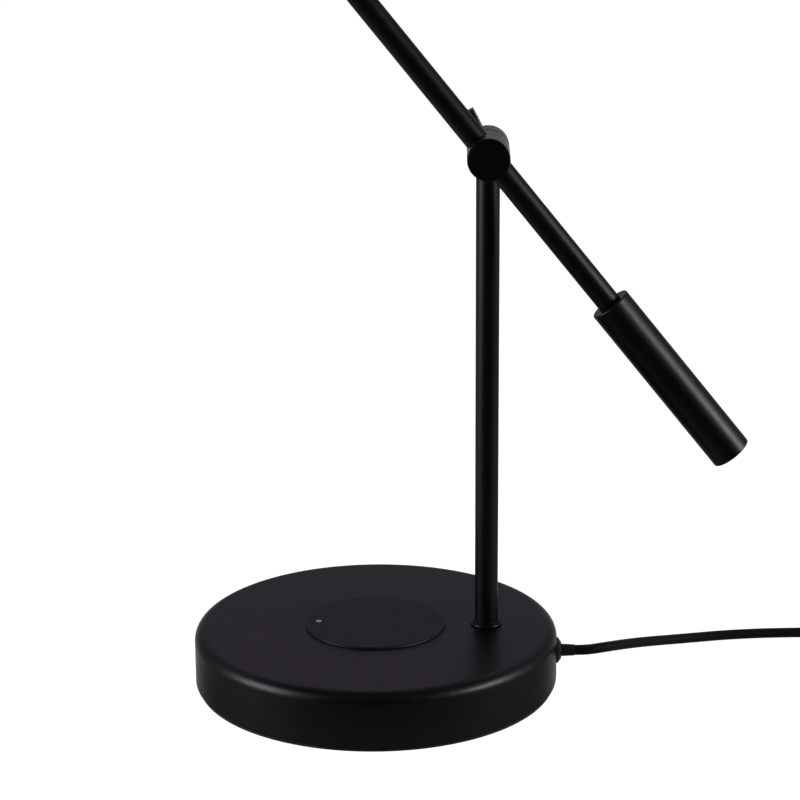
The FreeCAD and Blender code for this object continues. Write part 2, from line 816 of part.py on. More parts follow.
def make_socket_shell():
    tall = socket_bottom - socket_floor - 2
    return tube(below(socket_bottom - 1), UP, socket_bore - thread_gap,
                socket_bore - socket_shell_wall, tall)


contact_radius = 5.0
contact_thick = 0.8


def make_socket_contact():
    """A brass disc that closes the socket's floor, with a spring tongue under it."""
    plate = tube(below(socket_floor + contact_thick), UP, contact_radius + 2, nipple_bore, contact_thick)
    tongue = block(-contact_radius, contact_radius, -1.6, 1.6, -0.5, 0)
    tongue.translate(below(socket_floor + contact_thick))
    return plate.fuse(tongue).removeSplitter()


ring_top = cup_bottom + shade_wall


def make_shade_ring():
    ring = tube(below(ring_top + ring_thick), UP, ring_radius, socket_skirt_radius + thread_gap, ring_thick)
    for p in round_places(ring_notch_count, ring_radius + 1.0, 0, 0):
        ring = ring.cut(rod(V(hinge.x + p.x, p.y, below(ring_top + ring_thick).z), UP, 2.0, ring_thick))
    return ring


def shade_side(inset):
    """The shade's filled outline, drawn in by inset, from its top down to its rim."""
    top_r, rim_r = shade_top_radius - inset, shade_rim_radius - inset
    top_z, rim_z = -inset, -shade_height
    along = V(rim_r - top_r, 0, rim_z - top_z)
    out = V(-along.z, 0, along.x).normalize()
    mid = V((top_r + rim_r) / 2, 0, (top_z + rim_z) / 2) + out * shade_bulge
    return turned([(0, top_z), (top_r, top_z), (mid.x, mid.z, rim_r, rim_z), (0, rim_z)],
                  below(cup_bottom), UP)


def make_shade():
    shade = shade_side(0).cut(shade_side(shade_wall))
    shade = shade.cut(rod(below(cup_bottom + 2 * shade_wall), UP, socket_skirt_radius + loose_gap,
                          3 * shade_wall))
    bead = Part.makeTorus(shade_rim_radius - shade_wall / 2, shade_bead,
                          below(cup_bottom + shade_height), UP)
    return shade.fuse(bead).removeSplitter()


bulb_top = socket_floor + contact_thick + 0.5 + 0.1
cap_top = bulb_top + 2.0
cap_bottom = bulb_top + cap_length
bulb_bottom = bulb_top + bulb_length
body_bottom = cap_bottom + bulb_body_length
cap_skin = 0.4


def make_bulb_cap():
    """The metal screw cap: a closed cup with its contact button on top."""
    cap = turned([(0, 0), (cap_radius, 0), (cap_radius, cap_bottom - cap_top - 3),
                  (cap_radius - 3.0, cap_bottom - cap_top), (0, cap_bottom - cap_top)],
                 below(cap_bottom), UP)
    cap = cap.cut(rod(below(cap_bottom), UP, cap_radius - cap_skin, cap_bottom - cap_top - 4))
    return cap.fuse(rod(below(cap_top), UP, 4.5, cap_top - bulb_top)).removeSplitter()


bulb_centre = bulb_bottom - bulb_radius
globe_cut = bulb_centre - body_bottom
flare_radius = math.sqrt(bulb_radius ** 2 - globe_cut ** 2)


def make_bulb_body():
    inner = cap_radius - cap_skin - thread_gap
    tall = body_bottom - cap_bottom
    neck = tall - bulb_neck_length
    return turned([(0, 0), (flare_radius, 0), (flare_radius - 2.0, neck * 0.45, bulb_neck_radius, neck),
                   (bulb_neck_radius, tall), (inner, tall), (inner, tall + 8), (0, tall + 8)],
                  below(body_bottom), UP)


def make_bulb_globe():
    skin = 1.0
    globe = Part.makeSphere(bulb_radius, below(bulb_centre))
    globe = globe.cut(Part.makeSphere(bulb_radius - skin, below(bulb_centre)))
    return globe.cut(rod(below(body_bottom), UP, 2 * bulb_radius, bulb_radius))


# ---- switch -----------------------------------------------------------------------------------
def make_switch_shaft():
    start = V(hinge.x, -socket_radius + switch_shaft_depth - 0.2, hinge.z - switch_depth)
    end = -cup_radius - knob_stand_off - knob_length * 0.6
    return rod(start, BACK * -1, switch_shaft_radius, start.y - end)


def make_switch_knob():
    face = -cup_radius - knob_stand_off
    centre = V(hinge.x, face, hinge.z - switch_depth)
    knob = rod(centre, BACK * -1, knob_radius, knob_length)

    def rim(edge):
        curve = edge.Curve
        return isinstance(curve, Part.Circle) and abs(curve.Center.y - face + knob_length) < 1e-6

    knob = round_edges(knob, 0.8, rim)
    for k in range(knob_flutes):
        angle = 2 * math.pi * k / knob_flutes
        out = V(math.cos(angle), 0, math.sin(angle)) * (knob_radius + 0.35)
        knob = knob.cut(rod(centre + out, BACK * -1, 0.75, knob_length * 0.8))
    return knob.cut(rod(centre, BACK * -1, switch_shaft_radius + thread_gap, knob_length * 0.6 + 0.1))


# ---- wires ------------------------------------------------------------------------------------
def make_post_wire():
    """From the power supply, up the post, and forward on the pivot's axis to the seam."""
    height = supply_wire_height
    reach = post_x - supply_x[1]
    points = [V(supply_x[1], supply_wire_y, height),
              V(supply_x[1] + 0.3 * reach, supply_wire_y, height),
              V(supply_x[1] + 0.64 * reach, supply_wire_y * 0.45, height + 2.5),
              V(post_x, 0, height + 4.5), V(post_x, 0, pivot_height),
              V(post_x, seam - turning_gap, pivot_height)]
    return cord_tube("post_wire", points, wire_radius)


def make_arm_wire():
    """From the seam into the arm, up to the head, and back out on the hinge's axis."""
    start = seam - turning_gap
    points = [V(post_x, start, pivot_height), arm_mid, arm_end, V(hinge.x, start, hinge.z)]
    return cord_tube("arm_wire", points, wire_radius)


def make_head_wire():
    start = seam - turning_gap
    points = [V(hinge.x, start, hinge.z), hinge, below(socket_floor)]
    return cord_tube("head_wire", points, wire_radius)


def make_inner_cord():
    """The mains cord inside the base, from its gland round the post's nut to the power supply."""
    entry = supply_x[1]
    reach = post_x - entry
    points = [V(gland_inside, 0, cord_height), V(gland_inside - 5, 0, cord_height),
              V(post_x + 8, -inner_bend * 0.7, cord_height), V(post_x - 3, -inner_bend * 1.15, cord_height),
              V(entry + 0.62 * reach, -inner_bend * 1.0, cord_height),
              V(entry + 0.36 * reach, supply_cord_y, supply_wire_height + 1.5),
              V(entry + 6.5, supply_cord_y, supply_wire_height),
              V(entry, supply_cord_y, supply_wire_height)]
    return cord_tube("inner_cord", points, cord_radius)


# ---- mains cord -------------------------------------------------------------------------------
flange_face = base_radius + gland_flange_thick - gland_flat
gland_end = flange_face + nose_length


def make_gland():
    """The flanged bush that grips the cord in the base's wall, with a short tapered nose."""
    flat = base_radius - gland_flat
    bush = rod(V(flat, 0, cord_height), V(1, 0, 0), gland_flange_radius, gland_flange_rim)
    dome = Part.makeCone(gland_flange_radius, gland_dome_radius, flange_face - flat - gland_flange_rim,
                         V(flat + gland_flange_rim, 0, cord_height), V(1, 0, 0))
    bush = bush.fuse(dome)
    reach = flat - gland_inside
    bush = bush.fuse(rod(V(gland_inside, 0, cord_height), V(1, 0, 0), gland_neck_radius, reach))
    snap = gland_inner_length - gland_snap_gap
    bush = bush.fuse(rod(V(gland_inside, 0, cord_height), V(1, 0, 0), gland_inner_radius, snap))
    nose = Part.makeCone(nose_radii[0], nose_radii[1], nose_length, V(flange_face, 0, cord_height),
                         V(1, 0, 0))
    bush = bush.fuse(nose)
    wall = rod(V(0, 0, 0), UP, base_radius, base_top).cut(rod(V(0, 0, 0), UP, shell_inside, base_top))
    keep = rod(V(gland_inside, 0, cord_height), V(1, 0, 0), gland_neck_radius, gland_end - gland_inside)
    bush = bush.cut(wall.cut(keep)).removeSplitter()
    bore = rod(V(gland_inside - 1, 0, cord_height), V(1, 0, 0), cord_radius, gland_end - gland_inside + 2)
    return [bush.cut(bore)]


def make_gland_cord():
    """The stretch of the mains cord that the gland grips."""
    return rod(V(gland_inside, 0, cord_height), V(1, 0, 0), cord_radius, gland_end - gland_inside)


coil_low = coil_lift + cord_radius
coil_high = coil_low + coil_turn_pitch
cord_route = [V(gland_end, 0, cord_height), V(gland_end + 6.5, 0, cord_height), V(120.5, 4.6, 16.2),
              V(132, 15.5, 13.6), V(144, 27.5, 10.2), V(157, 38.5, 6.9), V(171, 46.6, 4.9),
              V(188, 52.4, 4.2), V(208, 55.6, coil_low), V(231, 57.0, coil_low), V(255, 57.3, coil_low),
              V(coil_centre[0] - coil_entry_run, coil_centre[1] - coil_outer_turn, coil_low),
              V(coil_centre[0], coil_centre[1] - coil_outer_turn, coil_low)]


def coil_point(turns):
    """The place and direction on the coil, turns after its start: in, up a layer, and out again."""
    inward = coil_turns_per_layer - 0.25
    reverse = inward + 0.5
    rise = 0.0
    if turns <= inward:
        radius, rate = coil_outer_turn - coil_turn_pitch * turns, -coil_turn_pitch
    elif turns >= reverse:
        radius = coil_outer_turn - coil_turn_pitch * inward + coil_turn_pitch * (turns - reverse)
        rate, rise = coil_turn_pitch, 1.0
    else:
        share = (turns - inward) / (reverse - inward)
        radius, rate = coil_outer_turn - coil_turn_pitch * inward, 0.0
        rise = share * share * (3 - 2 * share)
    climb = 0.0
    if inward < turns < reverse:
        climb = 6 * share * (1 - share) / (reverse - inward) * coil_turn_pitch
    angle = 2 * math.pi * turns - math.pi / 2
    place = V(coil_centre[0] + radius * math.cos(angle), coil_centre[1] + radius * math.sin(angle),
              coil_low + coil_turn_pitch * rise)
    swing = 2 * math.pi * radius
    heading = V(rate * math.cos(angle) - swing * math.sin(angle),
                rate * math.sin(angle) + swing * math.cos(angle), climb)
    return place, heading.normalize()


def biarc(p0, t0, p1, t1):
    """Two arcs that leave p0 along t0, meet smoothly, and reach p1 along t1."""
    gap = p1 - p0
    total = t0 + t1
    a = 2 * (1 - t0.dot(t1))
    b = gap.dot(total)
    if a < 1e-9:
        reach = gap.dot(gap) / (4 * gap.dot(t1))
    else:
        reach = (-b + math.sqrt(b * b + a * gap.dot(gap))) / a
    q0, q1 = p0 + t0 * reach, p1 - t1 * reach
    joint = (q0 + q1) * 0.5
    edges = []
    for start, corner, end in ((p0, q0, joint), (joint, q1, p1)):
        back, ahead = (start - corner).normalize(), (end - corner).normalize()
        half_turn = (math.pi - back.getAngle(ahead)) / 2
        if half_turn < 1e-6:
            edges.append(Part.LineSegment(start, end).toShape())
            continue
        radius = reach / math.tan(half_turn)
        depth = radius / math.cos(half_turn) - radius
        middle = corner + (back + ahead).normalize() * depth
        edges.append(Part.Arc(start, middle, end).toShape())
    return edges


coil_turns = 2 * (coil_turns_per_layer - 0.25) + 0.5 + 0.25
coil_steps_per_turn = 4


def make_cord_coil():
    """The cord's unseen length, wound inward on the table and outward again on top."""
    count = int(round(coil_turns * coil_steps_per_turn))
    stations = [coil_point(k / coil_steps_per_turn) for k in range(count + 1)]
    first, last = stations[0], stations[-1]
    lead_in = V(coil_centre[0], coil_centre[1] - coil_outer_turn, coil_low)
    straight = V(1, 0, 0)
    edges = [Part.LineSegment(lead_in, lead_in + straight * 2 * cord_radius).toShape()]
    begin = (lead_in + straight * 2 * cord_radius, straight)
    stations = [begin] + stations[1:]
    for (p0, t0), (p1, t1) in zip(stations, stations[1:]):
        edges += biarc(p0, t0, p1, t1)
    way_out = last[0] + last[1] * 2 * cord_radius
    edges.append(Part.LineSegment(last[0], way_out).toShape())
    path = Part.Wire(edges)
    solid = pipe_along(path, cord_radius, straight)
    points = path.discretize(Distance=2.0)
    nearest = min((p.distanceToPoint(q) for i, p in enumerate(points) for q in points[i + 12:]))
    ratio = solid.Volume / (math.pi * cord_radius ** 2 * path.Length)
    print("cord_coil length", round(path.Length, 1), "least gap", round(nearest - 2 * cord_radius, 2),
          "volume ratio", round(ratio, 4))
    return solid, way_out, last[1]


def make_cord_ties():
    """Flat bands round the coil's bundle, on the far side from the lead."""
    inner = coil_outer_turn - coil_turn_pitch * (coil_turns_per_layer - 0.25) - cord_radius - tie_gap
    outer = coil_outer_turn + cord_radius + coil_turn_pitch * 0.25 + tie_gap
    low, high = coil_low - cord_radius - 0.3, coil_high + cord_radius + tie_gap
    bands = []
    for angle in (75.0, 200.0):
        band = block(inner - tie_thick, outer + tie_thick, -tie_width / 2, tie_width / 2,
                     low - tie_thick, high + tie_thick)

        def corner(edge):
            ends = edge.Vertexes
            return abs(ends[0].Y - ends[1].Y) > tie_width / 2

        band = round_edges(band, 3.0, corner)
        hole = block(inner, outer, -tie_width / 2, tie_width / 2, low, high)
        hole = round_edges(hole, 1.2, corner)
        band = band.cut(hole)
        band.rotate(V(0, 0, 0), UP, angle)
        band.translate(V(coil_centre[0], coil_centre[1], 0))
        bands.append(band)
    return bands


def make_plug(start, heading):
    """The plug lies on the table beside the coil, with the cord's height at its middle."""
    side = V(-heading.y, heading.x, 0)
    frame = FreeCAD.Placement(FreeCAD.Matrix(heading.x, side.x, 0, start.x, heading.y, side.y, 0, start.y,
                                             0, 0, 1, start.z, 0, 0, 0, 1))
    half_thick = start.z
    neck = turned([(0, 0), (cord_radius + 1.2, 0), (cord_radius + 2.4, plug_neck_length),
                   (0, plug_neck_length)], V(0, 0, 0), V(1, 0, 0))
    for k in range(4):
        x = 2.5 + 3.6 * k
        groove = tube(V(x, 0, 0), V(1, 0, 0), 9, cord_radius + 0.9, 1.3)
        neck = neck.cut(groove)
    half = plug_width / 2
    body = block(plug_neck_length - 0.5, plug_neck_length + plug_length, -half, half,
                 -half_thick, half_thick)
    upright = [e for e in body.Edges if abs(e.Vertexes[0].Z - e.Vertexes[1].Z) > 1
               and e.Vertexes[0].X < plug_neck_length]
    body = body.makeFillet(7.5, upright)
    rims = [e for e in body.Edges if abs(abs(e.CenterOfMass.z) - half_thick) < 1e-3]
    body = body.makeFillet(1.6, rims)
    body = neck.fuse(body).removeSplitter()
    blades = []
    face = plug_neck_length + plug_length
    for sign, width in zip((-1, 1), blade_widths):
        y = sign * blade_gap / 2
        blade = block(face - blade_root, face + blade_length, y - blade_thick / 2, y + blade_thick / 2,
                      -width / 2, width / 2)
        body = body.cut(blade)
        hole = rod(V(face + blade_length - 4.5, y - blade_thick, 0), BACK, 1.6, 2 * blade_thick)
        blades.append(blade.cut(hole))
    for piece in [body] + blades:
        piece.Placement = frame.multiply(piece.Placement)
    return body, blades


# ---- build ------------------------------------------------------------------------------------
os.makedirs("parts", exist_ok=True)

save("base_shell", make_base_shell())
save("shell_pillars", *make_pillars())
save("base_weight", make_base_weight())
save("weight_screws", *make_plate_screws(weight_screw_places, plate_thick + weight_screw_reach - 0.5))
save("base_plate", make_base_plate())
save("plate_screws", *make_plate_screws(pillar_places, plate_thick + plate_screw_reach - 0.5))
save("foot_pad", make_foot_pad())

save("charger_cover", make_charger_cover())
save("charger_tub", make_charger_tub())
save("charging_coil", tube(V(0, 0, ferrite_top), UP, coil_outer, coil_inner, coil_thick))
save("ferrite_disc", rod(V(0, 0, board_top), UP, ferrite_radius, ferrite_thick))
save("charger_board", make_charger_board())
save("board_components", *make_board_parts())
save("charger_screws", *make_charger_screws())
save("status_light", rod(V(light_place, 0, board_top), UP, light_radius, disc_top - board_top))

save("supply_case", make_supply_case())
save("supply_lid", make_supply_lid())
save("supply_board", *make_supply_board())

save("post", make_post())
save("post_collar", make_collar())
save("post_foot_insert", make_foot_insert())
save("post_nipple", make_post_nipple())
save("post_lock_washer", make_lock_washer())
save("post_nut", make_post_nut())
save("post_top_insert", make_top_insert())
save("post_top_nipple", make_top_nipple())
save("post_wire", make_post_wire())

save("pivot_rear_half", make_pivot_rear())
save("pivot_front_half", make_pivot_front())
save("pivot_stud", make_pivot_stud())
save("pivot_friction_washer", make_friction_washer(pivot, friction_washer_radius))
save("pivot_washers", *make_washers(pivot, 1.0))
save("pivot_wing_nut", wing_nut(V(post_x, wing_seat, pivot_height), wing_lean, 1.0))

save("arm_tube", make_arm_tube())
save("arm_wire", make_arm_wire())
save("counterweight", make_counterweight())
save("arm_grub_screws",
     grub_screw(pivot_grub_start, arm_side * -1, barrel_radius - grub_recess - arm_bore),
     grub_screw(weight_grub_place + arm_side * (counterweight_radius - grub_recess), arm_side * -1,
                counterweight_radius - grub_recess - arm_bore),
     grub_screw(hinge_grub_start, arm_side, hinge_radius - grub_recess - arm_bore))

save("hinge_front_half", make_hinge_front())
save("hinge_rear_half", make_hinge_rear())
save("hinge_stud", make_hinge_stud())
save("hinge_friction_washer", make_friction_washer(hinge, hinge_radius - 0.7))
save("hinge_washers", *make_washers(hinge, 0.85))
save("hinge_wing_nut", wing_nut(V(hinge.x, wing_seat, hinge.z), small_wing_lean, small_wing_share))

save("neck_tube", make_neck())
save("neck_nipple", make_neck_nipple())
save("neck_nut", make_neck_nut())
save("head_wire", make_head_wire())
save("socket_cup", make_socket_cup())
save("lamp_socket", make_socket())
save("socket_contacts", make_socket_shell(), make_socket_contact())
save("shade_ring", make_shade_ring())
save("shade", make_shade())
save("bulb_cap", make_bulb_cap())
save("bulb_body", make_bulb_body())
save("bulb_globe", make_bulb_globe())
save("switch_knob", make_switch_knob(), make_switch_shaft())

save("cord_gland", *make_gland())
save("inner_cord", make_inner_cord(), make_gland_cord())
save("cord_lead", cord_tube("cord_lead", cord_route, cord_radius))
coil, coil_end, coil_heading = make_cord_coil()
save("cord_coil", coil)
save("cord_ties", *make_cord_ties())
plug, blades = make_plug(coil_end, coil_heading)
save("plug_body", plug)
save("plug_blades", *blades)

print(len(report), "nodes; hinge at", [round(c, 2) for c in hinge], "plug starts at",
      [round(c, 1) for c in coil_end])
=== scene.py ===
# Balance-arm desk lamp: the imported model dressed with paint, plastic, metal and a real cord.
import bpy
import json
import math
from mathutils import Matrix, Vector


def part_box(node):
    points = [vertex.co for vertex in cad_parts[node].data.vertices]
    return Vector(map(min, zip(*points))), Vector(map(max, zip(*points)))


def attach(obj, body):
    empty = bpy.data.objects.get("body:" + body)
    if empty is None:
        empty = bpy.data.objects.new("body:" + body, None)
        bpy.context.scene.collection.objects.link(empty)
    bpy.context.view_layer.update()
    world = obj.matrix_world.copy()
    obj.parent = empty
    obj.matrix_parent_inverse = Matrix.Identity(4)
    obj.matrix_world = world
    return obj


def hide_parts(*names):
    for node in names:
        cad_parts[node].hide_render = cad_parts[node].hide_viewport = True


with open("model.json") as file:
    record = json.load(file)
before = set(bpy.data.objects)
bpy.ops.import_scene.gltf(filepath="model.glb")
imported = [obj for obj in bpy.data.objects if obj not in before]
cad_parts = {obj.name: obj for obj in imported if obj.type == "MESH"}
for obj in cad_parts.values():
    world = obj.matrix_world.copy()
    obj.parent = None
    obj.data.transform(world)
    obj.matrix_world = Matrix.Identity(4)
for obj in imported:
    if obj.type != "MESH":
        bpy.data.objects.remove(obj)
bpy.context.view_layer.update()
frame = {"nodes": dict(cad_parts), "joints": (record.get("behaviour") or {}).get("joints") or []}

nodes = frame["nodes"]
joints = {joint["name"]: joint for joint in frame["joints"]}
headHinge = Vector(joints["head_tilt"]["pos_m"])
print("frame loaded:", len(nodes), "nodes")

# small helpers that the shaders share


def startMaterial(name):
    material = bpy.data.materials.new(name)
    material.use_nodes = True
    tree = material.node_tree
    return material, tree, tree.nodes["Principled BSDF"]


def place(tree, kind, **sockets):
    node = tree.nodes.new(kind)
    for key, value in sockets.items():
        node.inputs[key].default_value = value
    return node


def objectPoint(tree):
    return tree.nodes.new("ShaderNodeTexCoord").outputs["Object"]


def splitAxes(tree, vector):
    node = tree.nodes.new("ShaderNodeSeparateXYZ")
    tree.links.new(vector, node.inputs[0])
    return node.outputs


def noise(tree, point, scale, detail=3.0, roughness=0.55):
    node = place(tree, "ShaderNodeTexNoise", Scale=scale, Detail=detail, Roughness=roughness)
    tree.links.new(point, node.inputs["Vector"])
    return node.outputs["Fac"]


def remap(tree, value, inLow, inHigh, outLow, outHigh):
    node = tree.nodes.new("ShaderNodeMapRange")
    tree.links.new(value, node.inputs[0])
    for slot, limit in enumerate((inLow, inHigh, outLow, outHigh), 1):
        node.inputs[slot].default_value = limit
    return node.outputs[0]


def calc(tree, operation, first, second=0.0):
    node = tree.nodes.new("ShaderNodeMath")
    node.operation = operation
    for slot, value in enumerate((first, second)):
        if isinstance(value, (int, float)):
            node.inputs[slot].default_value = value
        else:
            tree.links.new(value, node.inputs[slot])
    return node.outputs[0]


def mixColour(tree, share, first, second):
    node = tree.nodes.new("ShaderNodeMix")
    node.data_type = "RGBA"
    for slot, value in ((6, first), (7, second)):  # the colour sockets of this node
        if isinstance(value, tuple):
            node.inputs[slot].default_value = (*value, 1.0)
        else:
            tree.links.new(value, node.inputs[slot])
    tree.links.new(share, node.inputs[0])
    return node.outputs[2]


def bump(tree, shader, height, depth, strength=1.0):
    node = place(tree, "ShaderNodeBump", Distance=depth, Strength=strength)
    tree.links.new(height, node.inputs["Height"])
    tree.links.new(node.outputs["Normal"], shader.inputs["Normal"])


def tint(colour, factor):
    return tuple(channel * factor for channel in colour)


patchSpan = (0.3, 0.7)  # the part of a noise's range that becomes the range of roughness


# a colour that drifts between two shades, and a roughness that drifts between two values
def cloudyColour(tree, shader, colour, look, detail=4.0):
    cloud = noise(tree, objectPoint(tree), look["cloud"], detail)
    if "cloudSpan" in look:
        cloud = remap(tree, cloud, *look["cloudSpan"], 0.0, 1.0)
    first, second = (tint(colour, shade) for shade in look["shades"])
    tree.links.new(mixColour(tree, cloud, first, second), shader.inputs["Base Color"])


def patchyRough(tree, shader, rough, pattern):
    tree.links.new(remap(tree, pattern, *patchSpan, *rough), shader.inputs["Roughness"])


finish = {}

# satin black paint on the tubes and the base; metal and edge set how it mirrors the room
paint = {
    "colour": (0.0112, 0.0102, 0.0114),
    "edge": (0.470, 0.458, 0.478),
    "metal": 0.92,
    "rough": (0.34, 0.40),
    "cloud": 26.0,
    "cloudSpan": (0.35, 0.68),
    "shades": (0.94, 1.06),
    "rub": 210.0,
    "peel": 1100.0,
    "peelDepth": 0.000012,
}

# the charging disc's soft-touch skin
softTouch = {
    **paint,
    "colour": (0.0105, 0.0096, 0.0108),
    "edge": (0.455, 0.445, 0.465),
    "metal": 0.9,
    "rough": (0.46, 0.52),
    "peel": 2600.0,
    "peelDepth": 0.000008,
}


def paintShader(name, look):
    material, tree, shader = startMaterial(name)
    point = objectPoint(tree)
    cloudyColour(tree, shader, look["colour"], look)
    patchyRough(tree, shader, look["rough"], noise(tree, point, look["rub"], detail=4.0))
    peel = noise(tree, point, look["peel"], detail=2.0, roughness=0.4)
    bump(tree, shader, peel, look["peelDepth"])
    shader.inputs["Metallic"].default_value = look["metal"]
    shader.inputs["Specular Tint"].default_value = (*look["edge"], 1.0)
    finish[name] = material
    return tree, shader


paintShader("blackPaint", paint)
paintShader("softTouchBlack", softTouch)

# the shade is the same paint outside and warm white inside; a face is inside when it looks
# towards the point on the shade's axis that lies aboveRim over its rim
lining = {"colour": (0.80, 0.79, 0.76), "rough": 0.5, "aboveRim": 0.004}


def makeShadePaint():
    tree, shader = paintShader("shadePaint", paint)
    coords = tree.nodes.new("ShaderNodeTexCoord")
    position = splitAxes(tree, coords.outputs["Object"])
    facing = splitAxes(tree, coords.outputs["Normal"])
    heart = (headHinge.x, headHinge.y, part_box("shade")[0][2] + lining["aboveRim"])
    outward = 0.0
    for axis in range(3):
        along = calc(tree, "SUBTRACT", position[axis], heart[axis])
        outward = calc(tree, "ADD", calc(tree, "MULTIPLY", along, facing[axis]), outward)
    inside = calc(tree, "LESS_THAN", outward, 0.0)
    oldColour = shader.inputs["Base Color"].links[0].from_socket
    colour = mixColour(tree, inside, oldColour, lining["colour"])
    tree.links.new(colour, shader.inputs["Base Color"])
    lessMetal = calc(tree, "MULTIPLY", inside, paint["metal"])
    tree.links.new(calc(tree, "SUBTRACT", paint["metal"], lessMetal), shader.inputs["Metallic"])
    oldRough = shader.inputs["Roughness"].links[0].from_socket
    liningRough = calc(tree, "MULTIPLY", inside, lining["rough"])
    tree.links.new(calc(tree, "MAXIMUM", oldRough, liningRough), shader.inputs["Roughness"])


makeShadePaint()

# moulded plastics and rubbers: colour, roughness, grain size and depth, shine
plastics = {
    "mouldedBlack": ((0.009, 0.009, 0.010), (0.50, 0.60), 1500.0, 0.00003, 0.16),
    "glandBlack": ((0.006, 0.006, 0.007), (0.50, 0.60), 1500.0, 0.00003, 0.05),
    "washerBlack": ((0.003, 0.003, 0.003), (0.80, 0.92), 1200.0, 0.00004, 0.02),
    "cordJacket": ((0.003, 0.003, 0.0035), (0.50, 0.60), 900.0, 0.00003, 0.03),
    "footRubber": ((0.010, 0.010, 0.010), (0.75, 0.88), 700.0, 0.00008, 0.10),
    "wireJacket": ((0.020, 0.020, 0.022), (0.35, 0.45), 600.0, 0.00002, 0.50),
    "tieFabric": ((0.018, 0.018, 0.020), (0.85, 0.95), 1300.0, 0.0002, 0.20),
    "bulbPlastic": ((0.82, 0.82, 0.80), (0.30, 0.40), 400.0, 0.00001, 0.50),
    "chipPlastic": ((0.020, 0.020, 0.022), (0.45, 0.55), 900.0, 0.00002, 0.50),
}
plasticSkin = {"cloud": 40.0, "cloudSpan": (0.35, 0.65), "shades": (0.88, 1.12), "rub": 240.0,
               "ior": 1.45}


def makePlastic(name, colour, rough, grain, depth, shine):
    material, tree, shader = startMaterial(name)
    point = objectPoint(tree)
    cloudyColour(tree, shader, colour, plasticSkin)
    patchyRough(tree, shader, rough, noise(tree, point, plasticSkin["rub"]))
    bump(tree, shader, noise(tree, point, grain, roughness=0.6), depth)
    shader.inputs["IOR"].default_value = plasticSkin["ior"]
    shader.inputs["Specular IOR Level"].default_value = shine
    finish[name] = material


for name, look in plastics.items():
    makePlastic(name, *look)

# bare and plated metals: colour, roughness, scratch scale
metals = {
    "zincPlate": ((0.55, 0.55, 0.53), (0.26, 0.40), 420.0),
    "castIron": ((0.10, 0.10, 0.105), (0.62, 0.80), 240.0),
    "brassPlain": ((0.72, 0.52, 0.22), (0.24, 0.36), 380.0),
    "copperWire": ((0.70, 0.34, 0.18), (0.28, 0.38), 300.0),
    "nickelPlate": ((0.62, 0.60, 0.56), (0.16, 0.26), 500.0),
}
metalSkin = {"cloud": 60.0, "cloudSpan": (0.35, 0.70), "shades": (1.0, 0.78),
             "brushed": (1.0, 1.0, 7.0), "scratchDepth": 0.00002}


def makeMetal(name, colour, rough, scratch):
    material, tree, shader = startMaterial(name)
    cloudyColour(tree, shader, colour, metalSkin, detail=5.0)
    stretch = place(tree, "ShaderNodeMapping", Scale=metalSkin["brushed"])
    tree.links.new(objectPoint(tree), stretch.inputs["Vector"])
    lines = noise(tree, stretch.outputs["Vector"], scratch, detail=6.0, roughness=0.7)
    patchyRough(tree, shader, rough, lines)
    bump(tree, shader, lines, metalSkin["scratchDepth"])
    shader.inputs["Metallic"].default_value = 1.0
    finish[name] = material


for name, look in metals.items():
    makeMetal(name, *look)

# the studs that show behind the wing nuts carry a fine thread
thread = {"pitch": 0.00125, "depth": 0.00035, "strength": 0.8}


def makeThreadedZinc():
    material = finish["zincPlate"].copy()
    material.name = "threadedZinc"
    tree = material.node_tree
    turns = calc(tree, "MULTIPLY", splitAxes(tree, objectPoint(tree))[1], 1.0 / thread["pitch"])
    ridge = calc(tree, "PINGPONG", turns, 0.5)
    bump(tree, tree.nodes["Principled BSDF"], ridge, thread["depth"], thread["strength"])
    finish["threadedZinc"] = material


makeThreadedZinc()

# pottery, glass, ferrite and the indicator; details are the noise's for the cloud and the grain
minerals = {
    "porcelain": {
        "colour": (0.80, 0.78, 0.72), "shades": (1.0, 0.9), "cloud": 90.0, "cloudSpan": (0.4, 0.75),
        "grain": 220.0, "grainDepth": 0.00004, "details": (4.0, 3.0),
        "sockets": {"Roughness": 0.16, "Coat Weight": 0.4},
    },
    "frostedGlass": {
        "colour": (0.93, 0.93, 0.91), "shades": (1.0, 0.97), "cloud": 35.0,
        "grain": 2500.0, "grainDepth": 0.00001, "details": (3.0, 2.0),
        "sockets": {"Roughness": 0.35, "Transmission Weight": 0.35},
    },
    "ferrite": {
        "colour": (0.05, 0.05, 0.055), "shades": (0.7, 1.3), "cloud": 800.0,
        "grain": 800.0, "grainDepth": 0.00005, "details": (4.0, 4.0),
        "sockets": {"Roughness": 0.7},
    },
    "lightLens": {
        "colour": (0.042, 0.042, 0.045), "shades": (1.0, 0.7), "cloud": 900.0,
        "grain": None, "details": (3.0, None),
        "sockets": {"Roughness": 0.35},
    },
}


def makeMineral(name, look):
    material, tree, shader = startMaterial(name)
    cloudDetail, grainDetail = look["details"]
    cloudyColour(tree, shader, look["colour"], look, cloudDetail)
    if look["grain"]:
        grain = noise(tree, objectPoint(tree), look["grain"], grainDetail)
        bump(tree, shader, grain, look["grainDepth"])
    for socket, value in look["sockets"].items():
        shader.inputs[socket].default_value = value
    finish[name] = material


for name, look in minerals.items():
    makeMineral(name, look)

# green lacquer over a web of copper lines
circuit = {"mask": (0.010, 0.075, 0.030), "trace": (0.025, 0.13, 0.055), "rough": 0.3,
           "cells": 380.0, "lineWidth": 0.08, "lineDepth": 0.00004}


